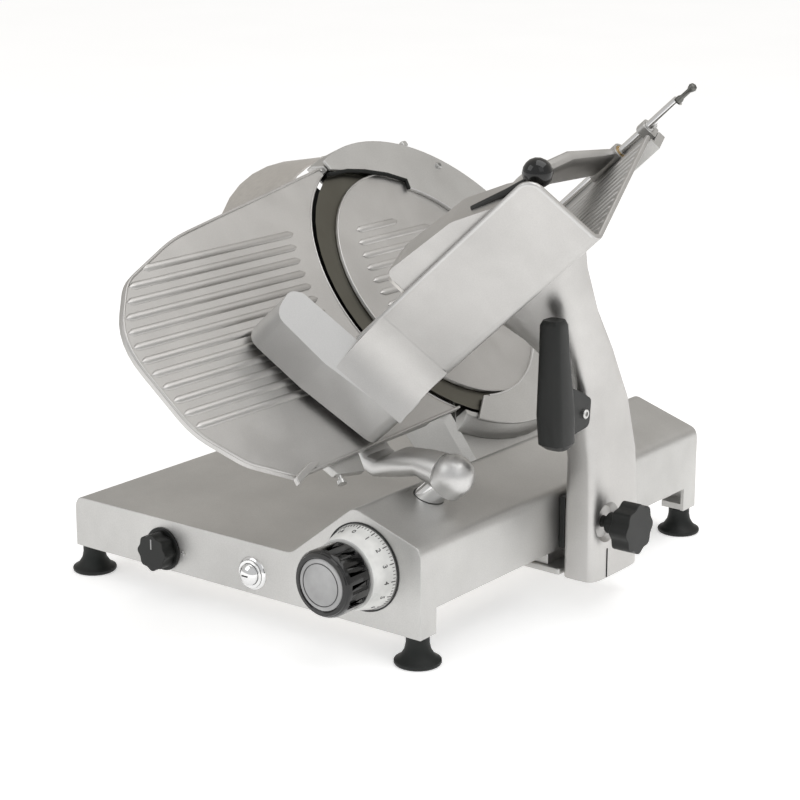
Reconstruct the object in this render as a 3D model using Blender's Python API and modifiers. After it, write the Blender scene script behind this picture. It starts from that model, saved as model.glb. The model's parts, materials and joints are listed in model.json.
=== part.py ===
"""Deli meat slicer with a gravity-fed trough: every separate piece as its own solid.

Machine frame: x runs from the left wall to the right, y from the operator's side to the back,
z up from the table. The cutting head has a frame of its own, tilted about y, with its origin at
the blade's centre: a along the blade's axis towards the product, b along y, c up the blade.
The trough has a third frame in it, turned about a: p across its floor, q up its side panel.
"""
import math

import bmesh
import bpy
from mathutils import Matrix, Vector

OBJECT_NAME = "deli_meat_slicer"

# Whole machine: the row's origin is the middle of its box, on the table.
CENTRE_X = 0.2964
CENTRE_Y = 0.1983

# Base
BASE_WIDTH = 0.472
BASE_LENGTH = 0.531
FOOT_HEIGHT = 0.030
FOOT_RADIUS = 0.0240
FOOT_INSET = 0.0130
SILL_Z = 0.057
DECK_Z = 0.086
HUMP_X = 0.308
RIDGE_X = 0.389
RIDGE_Z = 0.150
SIDE_Z = 0.123
WALL = 0.004
LEG = 0.026
PAD_TOP = 0.037

# Cutting head
TILT = math.radians(42.0)
HEAD_X = 0.2525
HEAD_Y = 0.337
HEAD_Z = 0.3023
BLADE_R = 0.175
GUARD_R = 0.178
SHAFT_R = 0.010
PULLEY_R = 0.052
MOTOR_PULLEY_R = 0.013
MOTOR_C = -0.245
BELT_A = -0.099

# Gauge plate and its slide
GAUGE_TRAVEL = 0.014
GAUGE_B = -0.2445
GAUGE_C = -0.226
GAUGE_SHAFT_R = 0.0135
SHAFT_END = 0.0400
CAM_MIN_R = 0.010
KNOB_TURN = math.radians(320.0)
KNOB_X = 0.4004
KNOB_Z = 0.0909

# Carriage
TROUGH_B = -0.241
TROUGH_C = -0.1448
TROUGH_TURN = math.radians(26.0)
TROUGH_LOW = 0.006
TROUGH_HIGH = 0.345
PANEL_Q = 0.088
HOOD_WIDTH = 0.034
HOOD_TOP = 0.0725
HOOD_RISE = 0.0225
FLOOR_P = 0.211
SHEET = 0.005
ROD_P = 0.2266
ROD_Q = 0.0062
ROD_R = 0.0055
SLIDE_ROD_X = 0.441
SLIDE_ROD_Z = 0.056
SLIDE_ROD_R = 0.009
ARM_Y = 0.279
LOCK_Y = 0.2585
LOCK_Z = 0.093

GAP = 0.0003

AXIS_TURN = {"X": (0.0, math.pi / 2, 0.0), "Y": (-math.pi / 2, 0.0, 0.0), "Z": (0.0, 0.0, 0.0)}
PLANE_TURN = {
    "XY": Matrix(((1, 0, 0), (0, 1, 0), (0, 0, 1))),
    "XZ": Matrix(((1, 0, 0), (0, 0, -1), (0, 1, 0))),
    "YZ": Matrix(((0, 0, 1), (1, 0, 0), (0, 1, 0))),
}


# ---------------------------------------------------------------- scene and helpers

def clear_scene():
    for obj in list(bpy.data.objects):
        bpy.data.objects.remove(obj, do_unlink=True)


def collection(name):
    new = bpy.data.collections.new(name)
    bpy.context.scene.collection.children.link(new)
    return new


def material(name, colour, roughness, metallic):
    mat = bpy.data.materials.new(name)
    mat.use_nodes = True
    shader = mat.node_tree.nodes["Principled BSDF"]
    shader.inputs["Base Color"].default_value = (*colour, 1.0)
    shader.inputs["Roughness"].default_value = roughness
    shader.inputs["Metallic"].default_value = metallic
    return mat


def place(obj, mat, parent, cutter=False):
    """Give an object its material and parent, and put it in the right collection."""
    (CUTTERS if cutter else PARTS).objects.link(obj)
    obj.parent = parent
    obj.hide_render = cutter
    obj.display_type = "WIRE" if cutter else "TEXTURED"
    if not cutter:
        part_material = mat.copy()
        part_material.name = obj.name + "_" + mat.name
        obj.data.materials.clear()
        obj.data.materials.append(part_material)
    return obj


def empty(name, parent, location, rotation=(0.0, 0.0, 0.0)):
    obj = bpy.data.objects.new(name, None)
    PARTS.objects.link(obj)
    obj.parent = parent
    obj.location = location
    obj.rotation_euler = rotation
    return obj


def shade(mesh):
    mesh.shade_smooth()
    mesh.set_sharp_from_angle(angle=math.radians(35.0))


def from_bmesh(name, bm):
    bmesh.ops.recalc_face_normals(bm, faces=bm.faces)
    mesh = bpy.data.meshes.new(name)
    bm.to_mesh(mesh)
    bm.free()
    shade(mesh)
    return bpy.data.objects.new(name, mesh)


def box(name, low, high, mat, parent, cutter=False):
    """A block between two corners, with its origin in its middle."""
    size = [high[i] - low[i] for i in range(3)]
    middle = [(high[i] + low[i]) / 2 for i in range(3)]
    bm = bmesh.new()
    bmesh.ops.create_cube(bm, size=1.0, matrix=Matrix.Diagonal((*size, 1.0)))
    obj = from_bmesh(name, bm)
    obj.location = middle
    return place(obj, mat, parent, cutter)


def cylinder(name, radius, centre, low, high, axis, mat, parent, segments=32, cutter=False):
    """A round bar along X, Y or Z. centre gives the two other coordinates, in order."""
    bm = bmesh.new()
    bmesh.ops.create_cone(bm, cap_ends=True, segments=segments, radius1=radius, radius2=radius,
                          depth=high - low)
    obj = from_bmesh(name, bm)
    location = list(centre)
    location.insert("XYZ".index(axis), (low + high) / 2)
    obj.location = location
    obj.rotation_euler = AXIS_TURN[axis]
    return place(obj, mat, parent, cutter)


def ball(name, radius, centre, mat, parent, cutter=False):
    bm = bmesh.new()
    bmesh.ops.create_uvsphere(bm, u_segments=16, v_segments=9, radius=radius)
    obj = from_bmesh(name, bm)
    obj.location = centre
    return place(obj, mat, parent, cutter)


def turned(name, profile, centre, axis, mat, parent, segments=32, cutter=False):
    """A turned shape. profile lists (radius, height) down its outer side; a ring's profile closes."""
    closed = profile[0][0] > 0 and profile[-1][0] > 0
    bm = bmesh.new()
    verts = [bm.verts.new((r, 0.0, h)) for r, h in profile]
    pairs = list(zip(verts, verts[1:]))
    if closed:
        pairs.append((verts[-1], verts[0]))
    for pair in pairs:
        bm.edges.new(pair)
    mesh = bpy.data.meshes.new(name)
    bm.to_mesh(mesh)
    bm.free()
    obj = bpy.data.objects.new(name, mesh)
    obj.location = centre
    obj.rotation_euler = AXIS_TURN[axis]
    screw = obj.modifiers.new("Turn", "SCREW")
    screw.steps = segments
    screw.render_steps = segments
    screw.use_merge_vertices = True
    screw.merge_threshold = 0.00001
    screw.use_smooth_shade = True
    return place(obj, mat, parent, cutter)


def tube(name, inner, outer, centre, low, high, axis, mat, parent, segments=32):
    profile = [(inner, high), (outer, high), (outer, low), (inner, low)]
    return turned(name, profile, centre, axis, mat, parent, segments)


def plate(name, outlines, low, high, plane, mat, parent, cutter=False):
    """A flat piece: closed outlines in a plane, the first outside and the others holes in it."""
    curve = bpy.data.curves.new(name, "CURVE")
    curve.dimensions = "2D"
    curve.fill_mode = "BOTH"
    curve.extrude = (high - low) / 2
    for outline in outlines:
        spline = curve.splines.new("POLY")
        spline.points.add(len(outline) - 1)
        for point, (u, v) in zip(spline.points, outline):
            point.co = (u, v, 0.0, 1.0)
        spline.use_cyclic_u = True
    source = bpy.data.objects.new(name + "_outline", curve)
    PARTS.objects.link(source)
    bpy.context.view_layer.update()
    evaluated = source.evaluated_get(bpy.context.evaluated_depsgraph_get())
    mesh = bpy.data.meshes.new_from_object(evaluated)
    bpy.data.objects.remove(source)
    bm = bmesh.new()
    bm.from_mesh(mesh)
    bmesh.ops.remove_doubles(bm, verts=bm.verts, dist=0.00001)
    bmesh.ops.dissolve_limit(bm, angle_limit=0.001, verts=bm.verts, edges=bm.edges)
    turn = PLANE_TURN[plane]
    bmesh.ops.transform(bm, matrix=turn.to_4x4(), verts=bm.verts)
    middle = (low + high) / 2
    shift = {"XY": (0, 0, middle), "XZ": (0, middle, 0), "YZ": (middle, 0, 0)}[plane]
    bmesh.ops.translate(bm, vec=shift, verts=bm.verts)
    bpy.data.meshes.remove(mesh)
    return place(from_bmesh(name, bm), mat, parent, cutter)


def loft(name, sections, mat, parent, cutter=False):
    """A skin through rings of points, capped at both ends."""
    bm = bmesh.new()
    rings = [[bm.verts.new(point) for point in section] for section in sections]
    count = len(rings[0])
    for lower, upper in zip(rings, rings[1:]):
        for i in range(count):
            j = (i + 1) % count
            bm.faces.new((lower[i], lower[j], upper[j], upper[i]))
    bm.faces.new(rings[0])
    bm.faces.new(rings[-1])
    return place(from_bmesh(name, bm), mat, parent, cutter)


def ring_section(centre, half_u, half_v, squareness=3.0, count=20):
    """A rounded-square ring of points round a centre, spanned by two half-width vectors."""
    points = []
    for i in range(count):
        turn = 2 * math.pi * i / count
        cosine, sine = math.cos(turn), math.sin(turn)
        u = math.copysign(abs(cosine) ** (2 / squareness), cosine)
        v = math.copysign(abs(sine) ** (2 / squareness), sine)
        points.append(Vector(centre) + u * Vector(half_u) + v * Vector(half_v))
    return points


def rounded(corners, steps=4):
    """Replace each (u, v, radius) corner of a polygon with an arc of that radius."""
    points = []
    for i, (u, v, radius) in enumerate(corners):
        here = Vector((u, v))
        if radius <= 0:
            points.append(tuple(here))
            continue
        before = Vector(corners[i - 1][:2]) - here
        after = Vector(corners[(i + 1) % len(corners)][:2]) - here
        half = before.angle(after) / 2
        reach = min(radius / math.tan(half), before.length * 0.49, after.length * 0.49)
        start = here + before.normalized() * reach
        end = here + after.normalized() * reach
        for k in range(steps + 1):
            t = k / steps
            points.append(tuple((1 - t) ** 2 * start + 2 * t * (1 - t) * here + t * t * end))
    return points


def arc(radius, first, last, steps, centre=(0.0, 0.0)):
    """Points on a circle, from one angle in degrees to another."""
    points = []
    for k in range(steps + 1):
        turn = math.radians(first + (last - first) * k / steps)
        points.append((centre[0] + radius * math.cos(turn), centre[1] + radius * math.sin(turn)))
    return points


def circle(radius, centre=(0.0, 0.0), steps=32):
    return arc(radius, 0.0, 360.0 * (steps - 1) / steps, steps - 1, centre)


def boolean(obj, other, operation):
    modifier = obj.modifiers.new(operation.title(), "BOOLEAN")
    modifier.operation = operation
    modifier.solver = "EXACT"
    modifier.object = other
    return obj


def cut(obj, *cutters):
    for cutter in cutters:
        boolean(obj, cutter, "DIFFERENCE")
    return obj


def join(obj, *tools):
    for tool in tools:
        boolean(obj, tool, "UNION")
    return obj


def bevel_edges(obj, chosen, width, segments):
    """Round the edges whose two end points both pass a test."""
    bm = bmesh.new()
    bm.from_mesh(obj.data)
    layer = bm.edges.layers.float.new("bevel_weight_edge")
    for edge in bm.edges:
        if all(chosen(v.co) for v in edge.verts):
            edge[layer] = 1.0
    bm.to_mesh(obj.data)
    bm.free()
    modifier = obj.modifiers.new("Round", "BEVEL")
    modifier.limit_method = "WEIGHT"
    modifier.width = width
    modifier.segments = segments
    return obj


def lobed(radius, depth, lobes, steps):
    """A knob's outline with evenly spaced grips."""
    points = []
    for k in range(steps):
        turn = 2 * math.pi * k / steps
        reach = radius - depth * (0.5 - 0.5 * math.cos(lobes * turn))
        points.append((reach * math.cos(turn), reach * math.sin(turn)))
    return points


def shifted(points, u, v):
    return [(x + u, y + v) for x, y in points]


# ---------------------------------------------------------------- base

def slope_z(x):
    """Height of the hump's top over a place across the base."""
    if x < RIDGE_X:
        return DECK_Z + (x - HUMP_X) * (RIDGE_Z - DECK_Z) / (RIDGE_X - HUMP_X)
    return RIDGE_Z + (x - RIDGE_X) * (SIDE_Z - RIDGE_Z) / (BASE_WIDTH - RIDGE_X)


def base_outline(inset, bottom, radius):
    side = BASE_WIDTH - inset
    return rounded([
        (inset, bottom, 0.0),
        (side, bottom, 0.0),
        (side, slope_z(side) - inset, radius),
        (RIDGE_X, RIDGE_Z - inset * 1.2, radius),
        (HUMP_X + inset * 0.3, DECK_Z - inset, 0.02),
        (inset, DECK_Z - inset, radius),
    ])


def mouth_outline():
    """The base's open underside, which leaves a pad in each corner for its foot."""
    near_x, far_x = WALL, BASE_WIDTH - WALL
    near_y, far_y = WALL, BASE_LENGTH - WALL
    pad_x, pad_y = 0.030, LEG - 0.002
    return [
        (pad_x, near_y), (BASE_WIDTH - pad_x, near_y), (BASE_WIDTH - pad_x, pad_y), (far_x, pad_y),
        (far_x, BASE_LENGTH - pad_y), (BASE_WIDTH - pad_x, BASE_LENGTH - pad_y),
        (BASE_WIDTH - pad_x, far_y), (pad_x, far_y), (pad_x, BASE_LENGTH - pad_y),
        (near_x, BASE_LENGTH - pad_y), (near_x, pad_y), (pad_x, pad_y),
    ]


def make_base(machine, head, mats):
    housing = plate("base_housing", [base_outline(0.0, FOOT_HEIGHT, 0.012)], 0.0, BASE_LENGTH,
                    "XZ", mats["cast"], machine)

    def front_or_back_rim(co):
        on_end = co.y < 0.0001 or co.y > BASE_LENGTH - 0.0001
        return on_end and co.z > FOOT_HEIGHT + 0.001

    bevel_edges(housing, front_or_back_rim, 0.006, 2)
    cavity = plate("cavity_cutter", [base_outline(WALL, PAD_TOP, 0.009)], WALL,
                   BASE_LENGTH - WALL, "XZ", None, machine, cutter=True)
    mouth = plate("mouth_cutter", [mouth_outline()], FOOT_HEIGHT - 0.01, PAD_TOP + 0.001, "XY", None,
                  machine, cutter=True)
    window = box("sill_cutter", (BASE_WIDTH - 0.02, LEG, FOOT_HEIGHT - 0.01),
                 (BASE_WIDTH + 0.02, BASE_LENGTH - LEG, SILL_Z), None, machine, cutter=True)
    cut(housing, cavity, mouth, window)
    join(housing, box("guide_bar_tool", (0.4600, WALL - 0.001, 0.0765),
                      (BASE_WIDTH - 0.001, BASE_LENGTH - WALL + 0.001, 0.0840), None, machine, True))
    holes = [
        cylinder("switch_hole", 0.0060, (0.131, 0.0528), -0.01, 0.02, "Y", None, machine, 16, True),
        cylinder("button_hole", 0.0070, (0.256, 0.0526), -0.01, 0.02, "Y", None, machine, 16, True),
        cylinder("spindle_hole", 0.0065, (KNOB_X, KNOB_Z), -0.01, 0.02, "Y", None, machine, 20, True),
        cylinder("inlet_hole", 0.0090, (0.100, 0.058), BASE_LENGTH - 0.02, BASE_LENGTH + 0.02, "Y",
                 None, machine, 20, True),
        cylinder("gauge_shaft_hole", GAUGE_SHAFT_R + 0.001, (GAUGE_B, GAUGE_C), -0.02, 0.05, "X",
                 None, head, 32, True),
        box("belt_slot", (-0.111, -0.030, -0.235), (-0.087, 0.030, -0.185), None, head, cutter=True),
    ]
    cut(housing, *holes)
    plate("bottom_plate", [rounded([(0.006, LEG + 0.002, 0.004), (0.412, LEG + 0.002, 0.004),
                                    (0.412, BASE_LENGTH - LEG - 0.002, 0.004),
                                    (0.006, BASE_LENGTH - LEG - 0.002, 0.004)], 3)],
          0.0303, 0.0323, "XY", mats["sheet"], machine)


def make_feet(machine, mats):
    profile = [(0.0, FOOT_HEIGHT - GAP), (0.0120, FOOT_HEIGHT - GAP), (0.0120, 0.0220),
               (0.0135, 0.0150), (0.0180, 0.0080), (FOOT_RADIUS, 0.0045), (FOOT_RADIUS, 0.0015),
               (0.0225, 0.0), (0.0, 0.0)]
    for side, x in (("left", FOOT_INSET), ("right", BASE_WIDTH - FOOT_INSET)):
        for end, y in (("front", FOOT_INSET), ("rear", BASE_LENGTH - FOOT_INSET)):
            turned(f"foot_{end}_{side}", profile, (x, y, 0.0), "Z", mats["rubber"], machine, 24)


def make_controls(machine, mats):
    switch_x, switch_z = 0.131, 0.0528
    tube("switch_bezel", 0.0062, 0.0235, (switch_x, 0.0, switch_z), -0.0023, -GAP, "Y",
         mats["plastic"], machine)
    knob = plate("switch_knob", [shifted(lobed(0.0205, 0.0024, 8, 48), switch_x, switch_z)],
                 -0.0190, -0.0026, "XZ", mats["plastic"], machine)
    stem = cylinder("switch_stem_tool", 0.0045, (switch_x, switch_z), -0.010, 0.0080, "Y", None,
                    machine, 16, True)
    join(knob, stem)
    box("switch_body", (switch_x - 0.016, 0.0084, switch_z - 0.014),
        (switch_x + 0.016, 0.038, switch_z + 0.014), mats["plastic"], machine)
    button_x, button_z = 0.256, 0.0526
    tube("button_bezel", 0.0115, 0.0152, (button_x, 0.0, button_z), -0.0045, -GAP, "Y",
         mats["chrome"], machine, 24)
    turned("start_button", [(0.0, 0.0080), (0.0058, 0.0080), (0.0064, -0.0040), (0.0112, -0.0042),
                            (0.0112, -0.0070), (0.0088, -0.0100), (0.0048, -0.0118), (0.0, -0.0124)],
           (button_x, 0.0, button_z), "Y", mats["chrome"], machine, 24)
    turned("power_inlet", [(0.0, BASE_LENGTH + 0.0150), (0.0060, BASE_LENGTH + 0.0150),
                           (0.0075, BASE_LENGTH + 0.0060), (0.0125, BASE_LENGTH + 0.0050),
                           (0.0125, BASE_LENGTH + GAP), (0.0085, BASE_LENGTH + GAP),
                           (0.0085, BASE_LENGTH - 0.012), (0.0, BASE_LENGTH - 0.012)],
           (0.100, 0.0, 0.058), "Y", mats["plastic"], machine, 24)


def cam_outline():
    """A spiral edge that grows by the gauge plate's travel over the knob's turn."""
    points = []
    steps = 40
    for k in range(steps + 1):
        turn = KNOB_TURN * k / steps
        reach = CAM_MIN_R + GAUGE_TRAVEL * turn / KNOB_TURN
        angle = math.pi + TILT + turn
        points.append((reach * math.cos(angle), reach * math.sin(angle)))
    step_foot = math.pi + TILT - math.radians(22.0)
    points.append((CAM_MIN_R * math.cos(step_foot), CAM_MIN_R * math.sin(step_foot)))
    return points


def make_thickness_control(machine, mats):
    axis = (KNOB_X, 0.0, KNOB_Z)
    knob = turned("thickness_knob", [(0.0, -0.0290), (0.0330, -0.0290), (0.0345, -0.0320),
                                     (0.0345, -0.0595), (0.0325, -0.0630), (0.0267, -0.0630),
                                     (0.0267, -0.0612), (0.0, -0.0612)],
                  axis, "Y", mats["gloss_plastic"], machine, 48)
    flutes = 12
    for k in range(flutes):
        turn = 2 * math.pi * k / flutes
        centre = (KNOB_X + 0.0385 * math.cos(turn), KNOB_Z + 0.0385 * math.sin(turn))
        groove = cylinder(f"flute_cutter_{k}", 0.0062, centre, -0.0575, -0.0335, "Y", None, machine,
                          12, True)
        cut(knob, groove)
    bore = cylinder("spindle_bore", 0.0063, (KNOB_X, KNOB_Z), -0.0500, 0.0, "Y", None, machine, 20,
                    True)
    cut(knob, bore)
    turned("index_dial", [(0.0064, -0.0010), (0.0435, -0.0010), (0.0365, -0.0280), (0.0064, -0.0280)],
           axis, "Y", mats["dial"], machine, 48)
    turned("knob_cap", [(0.0, -0.0615), (0.0264, -0.0615), (0.0264, -0.0640), (0.0245, -0.0650),
                        (0.0, -0.0650)],
           axis, "Y", mats["white"], machine, 40)
    cylinder("thickness_spindle", 0.0060, (KNOB_X, KNOB_Z), -0.0495, 0.0760, "Y", mats["steel"],
             machine, 20)
    plate("thickness_cam", [shifted(cam_outline(), KNOB_X, KNOB_Z),
                            circle(0.0063, (KNOB_X, KNOB_Z), 20)],
          0.0620, 0.0700, "XZ", mats["steel"], machine)


# ---------------------------------------------------------------- drive and blade

def belt_loop(offset):
    """The belt's path round both pulleys, offset from their rims."""
    big, small = PULLEY_R + offset, MOTOR_PULLEY_R + offset
    lean = math.degrees(math.asin((big - small) / -MOTOR_C))
    upper = arc(big, -lean, 180.0 + lean, 24)
    lower = arc(small, 180.0 + lean, 360.0 - lean, 12, (0.0, MOTOR_C))
    return upper + lower


def housing_outline():
    return rounded([
        (-0.105, -0.2100, 0.0), (0.150, -0.2100, 0.0), (0.150, -0.110, 0.040),
        (0.140, 0.060, 0.070), (0.070, 0.120, 0.050), (-0.070, 0.120, 0.050),
        (-0.140, 0.040, 0.060), (-0.135, -0.060, 0.050), (-0.098, -0.142, 0.015),
    ])


def make_head(machine, head, mats):
    cut_steps = 48
    turned("blade", [(0.0102, -0.0030), (0.1480, -0.0030), (0.1600, -0.0014), (BLADE_R, -GAP),
                     (0.1740, -0.0012), (0.1550, -0.0062), (0.0520, -0.0070), (0.0480, -0.0120),
                     (0.0102, -0.0120)],
           (0.0, 0.0, 0.0), "X", mats["blade"], head, cut_steps)
    turned("blade_cover", [(0.0, 0.0012), (0.1460, 0.0008), (0.1475, -0.0005), (0.1475, -0.0027),
                           (0.0040, -0.0027), (0.0040, -0.1380), (0.0, -0.1380)],
           (0.0, 0.0, 0.0), "X", mats["cast_fine"], head, cut_steps)
    guard = turned("ring_guard", [(GUARD_R, -0.0005), (0.1850, -0.0003), (0.1935, -0.0100),
                                  (0.1960, -0.0197), (0.1200, -0.0197), (0.1200, -0.0167),
                                  (GUARD_R, -0.0167)],
                   (0.0, 0.0, 0.0), "X", mats["cast"], head, cut_steps)
    open_side = [(0.0, 0.0)] + arc(0.26, 113.5, 237.0, 10)
    cut(guard, plate("guard_cutter", [open_side], -0.03, 0.01, "YZ", None, head, cutter=True))
    base_clearance = plate("base_clearance", [base_outline(-GAP, FOOT_HEIGHT, 0.012)], -0.01,
                           BASE_LENGTH + 0.01, "XZ", None, machine, cutter=True)
    housing = plate("blade_housing", [housing_outline(), circle(0.0250)], -0.0340, -0.0200, "YZ",
                    mats["cast"], head)
    cut(housing, base_clearance)
    outer = rounded([(-0.062, -0.2100, 0.0), (0.062, -0.2100, 0.0), (0.062, 0.062, 0.045),
                     (-0.062, 0.062, 0.045)])
    inner = rounded([(-0.0585, -0.2200, 0.0), (0.0585, -0.2200, 0.0), (0.0585, 0.0585, 0.043),
                     (-0.0585, 0.0585, 0.043)])
    belt_housing = plate("belt_housing", [outer], -0.1180, -0.0343, "YZ", mats["cast"], head)
    hollow = plate("belt_housing_hollow", [inner], -0.1145, -0.0200, "YZ", None, head, cutter=True)
    rod_hole = cylinder("tie_rod_hole", 0.0055, (0.0, 0.0), -0.13, -0.10, "X", None, head, 16, True)
    cut(belt_housing, base_clearance, hollow, rod_hole)


def make_drive(head, mats):
    carrier = tube("bearing_carrier", 0.0186, 0.0245, (0.0, 0.0, 0.0), -0.0880, -0.0203, "X",
                   mats["cast"], head)
    ring = turned("carrier_flange", [(0.0215, -0.0345), (0.0380, -0.0345), (0.0380, -0.0395),
                                     (0.0215, -0.0395)],
                  (0.0, 0.0, 0.0), "X", None, head, 32, True)
    join(carrier, ring)
    for name, low, high in (("blade_bearing_front", -0.0480, -0.0360),
                            ("blade_bearing_rear", -0.0860, -0.0740)):
        tube(name, 0.0103, 0.0183, (0.0, 0.0, 0.0), low, high, "X", mats["steel"], head)
    turned("blade_shaft", [(0.0045, -0.0123), (0.0300, -0.0123), (0.0300, -0.0162),
                           (SHAFT_R, -0.0175), (SHAFT_R, -0.1120), (0.0045, -0.1120)],
           (0.0, 0.0, 0.0), "X", mats["steel"], head)
    tube("blade_pulley", SHAFT_R + GAP, PULLEY_R, (0.0, 0.0, 0.0), -0.1060, -0.0920, "X",
         mats["cast"], head, 40)
    belt_low, belt_high = BELT_A - 0.005, BELT_A + 0.005
    plate("drive_belt", [belt_loop(0.0026), belt_loop(GAP)], belt_low, belt_high, "YZ",
          mats["rubber"], head)
    tube("cover_knob", 0.0043, 0.0170, (0.0, 0.0, 0.0), -0.1360, -0.1185, "X", mats["plastic"],
         head, 24)
    motor = cylinder("motor", 0.0330, (0.0, MOTOR_C), -0.0860, -0.0160, "X", mats["paint"], head, 32)
    shaft = cylinder("motor_shaft_tool", 0.0050, (0.0, MOTOR_C), -0.1060, -0.0800, "X", None, head,
                     16, True)
    join(motor, shaft)
    tube("motor_pulley", 0.0053, MOTOR_PULLEY_R, (0.0, 0.0, MOTOR_C), -0.1055, -0.0925, "X",
         mats["steel"], head, 24)
    bracket = box("motor_bracket_tool", (-0.0200, -0.036, -0.276), (-0.0150, 0.036, -0.2115), None,
                  head, True)
    join(motor, bracket)


def make_deflector(head, mats):
    shell = turned("slice_deflector", [(0.2000, -0.0360), (0.2390, -0.1000), (0.2370, -0.1000),
                                       (0.1980, -0.0360)],
                   (0.0, 0.0, 0.0), "X", mats["sheet"], head, 48)
    kept = [(0.0, 0.0)] + arc(0.30, 128.0, 435.0, 24)
    cut(shell, plate("deflector_cutter", [kept], -0.12, 0.0, "YZ", None, head, cutter=True))
    join(shell, box("deflector_bracket_tool", (-0.0390, -0.020, 0.0900), (-0.0343, 0.020, 0.2010),
                    None, head, True))


# ---------------------------------------------------------------- gauge plate

def gauge_outline():
    edge = rounded([
        (-0.080, 0.1700, 0.003), (-0.350, 0.125, 0.25), (-0.441, 0.090, 0.06),
        (-0.492, 0.031, 0.12), (-0.471, -0.080, 0.08), (-0.431, -0.127, 0.06),
        (-0.380, -0.157, 0.012), (-0.1045, -0.1462, 0.0),
    ], 6)
    return edge + arc(GUARD_R + 0.0006, 234.4, 116.4, 28)


def make_gauge(head, mats):
    plate("gauge_plate", [gauge_outline()], -0.0070, -0.0015, "YZ", mats["cast_fine"], head)
    plate("gauge_bracket", [rounded([(-0.345, -0.1515, 0.004), (-0.150, -0.1480, 0.004),
                                     (-0.150, -0.1150, 0.008), (-0.330, -0.1150, 0.008)], 4)],
          -0.0160, -0.0073, "YZ", mats["cast"], head)
    arm = loft("gauge_arm", [
        ring_section((-0.0265, -0.2370, -0.1200), (0.0100, 0, 0), (0, 0.0230, 0), 4.0, 24),
        ring_section((-0.0265, -0.2370, -0.1560), (0.0100, 0, 0.0010), (0, 0.0230, 0), 4.0, 24),
        ring_section((-0.0190, -0.2380, -0.1700), (0.0100, 0, 0.0060), (0, 0.0215, 0), 3.0, 24),
        ring_section((0.0060, -0.2400, -0.1815), (0.0100, 0, 0.0110), (0, 0.0210, 0), 2.4, 24),
        ring_section((0.0300, -0.2425, -0.1965), (0.0110, 0, 0.0085), (0, 0.0210, 0), 2.0, 24),
        ring_section((0.0450, -0.2445, -0.2160), (0.0145, 0, 0.0125), (0, 0.0215, 0), 2.0, 24),
    ], mats["polished"], head)
    boss = cylinder("gauge_boss_tool", 0.0212, (GAUGE_B, GAUGE_C), SHAFT_END, 0.0540, "X", None,
                    head, 28, True)
    bulb = ball("gauge_bulb_tool", 0.0220, (0.0535, GAUGE_B, GAUGE_C + 0.0005), None, head, True)
    socket = cylinder("shaft_socket", GAUGE_SHAFT_R + GAP, (GAUGE_B, GAUGE_C), -0.0500,
                      SHAFT_END + GAP, "X", None, head, 32, True)
    join(arm, boss, bulb)
    cut(arm, socket)
    cylinder("gauge_shaft", GAUGE_SHAFT_R, (GAUGE_B, GAUGE_C), -0.0900, SHAFT_END, "X",
             mats["chrome"], head, 32)
    bushing = cylinder("gauge_bushing", 0.0178, (GAUGE_B, GAUGE_C), -0.0700, -0.0150, "X",
                       mats["brass"], head, 32)
    bracket = box("bushing_bracket_tool", (-0.0680, -0.3325, -0.2400), (-0.0600, -0.2150, -0.2050),
                  None, head, True)
    bore = cylinder("bushing_bore", GAUGE_SHAFT_R + GAP, (GAUGE_B, GAUGE_C), -0.08, 0.01, "X", None,
                    head, 32, True)
    join(bushing, bracket)
    cut(bushing, bore)
    ear = [(GAUGE_B + 0.012, GAUGE_C + 0.0165), (GAUGE_B + 0.019, GAUGE_C + 0.006),
           (GAUGE_B + 0.016, GAUGE_C - 0.014), (-0.268, -0.2640), (-0.277, -0.2620),
           (-0.279, -0.2520), (GAUGE_B - 0.018, GAUGE_C + 0.008), (GAUGE_B - 0.008, GAUGE_C + 0.019)]
    follower = plate("cam_follower", [ear, circle(GAUGE_SHAFT_R + GAP, (GAUGE_B, GAUGE_C), 32)],
                     -0.0880, -0.0760, "YZ", mats["steel"], head)
    cam_a, cam_c = head_place(KNOB_X, KNOB_Z)
    pin = cylinder("follower_pin_tool", 0.0035, (0.066 - HEAD_Y, cam_c), -0.0780,
                   cam_a - CAM_MIN_R - 0.0008, "X", None, head, 16, True)
    join(follower, pin)
    cylinder("gauge_clamp_screw", 0.0065, (-0.3250, -0.1400), -0.0250, -0.0163, "X", mats["steel"],
             head, 6)


def head_place(x, z):
    """Head coordinates (a, c) of a place in the machine frame."""
    dx, dz = x - HEAD_X, z - HEAD_Z
    return dx * math.cos(TILT) + dz * math.sin(TILT), dz * math.cos(TILT) - dx * math.sin(TILT)


# ---------------------------------------------------------------- carriage

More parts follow.
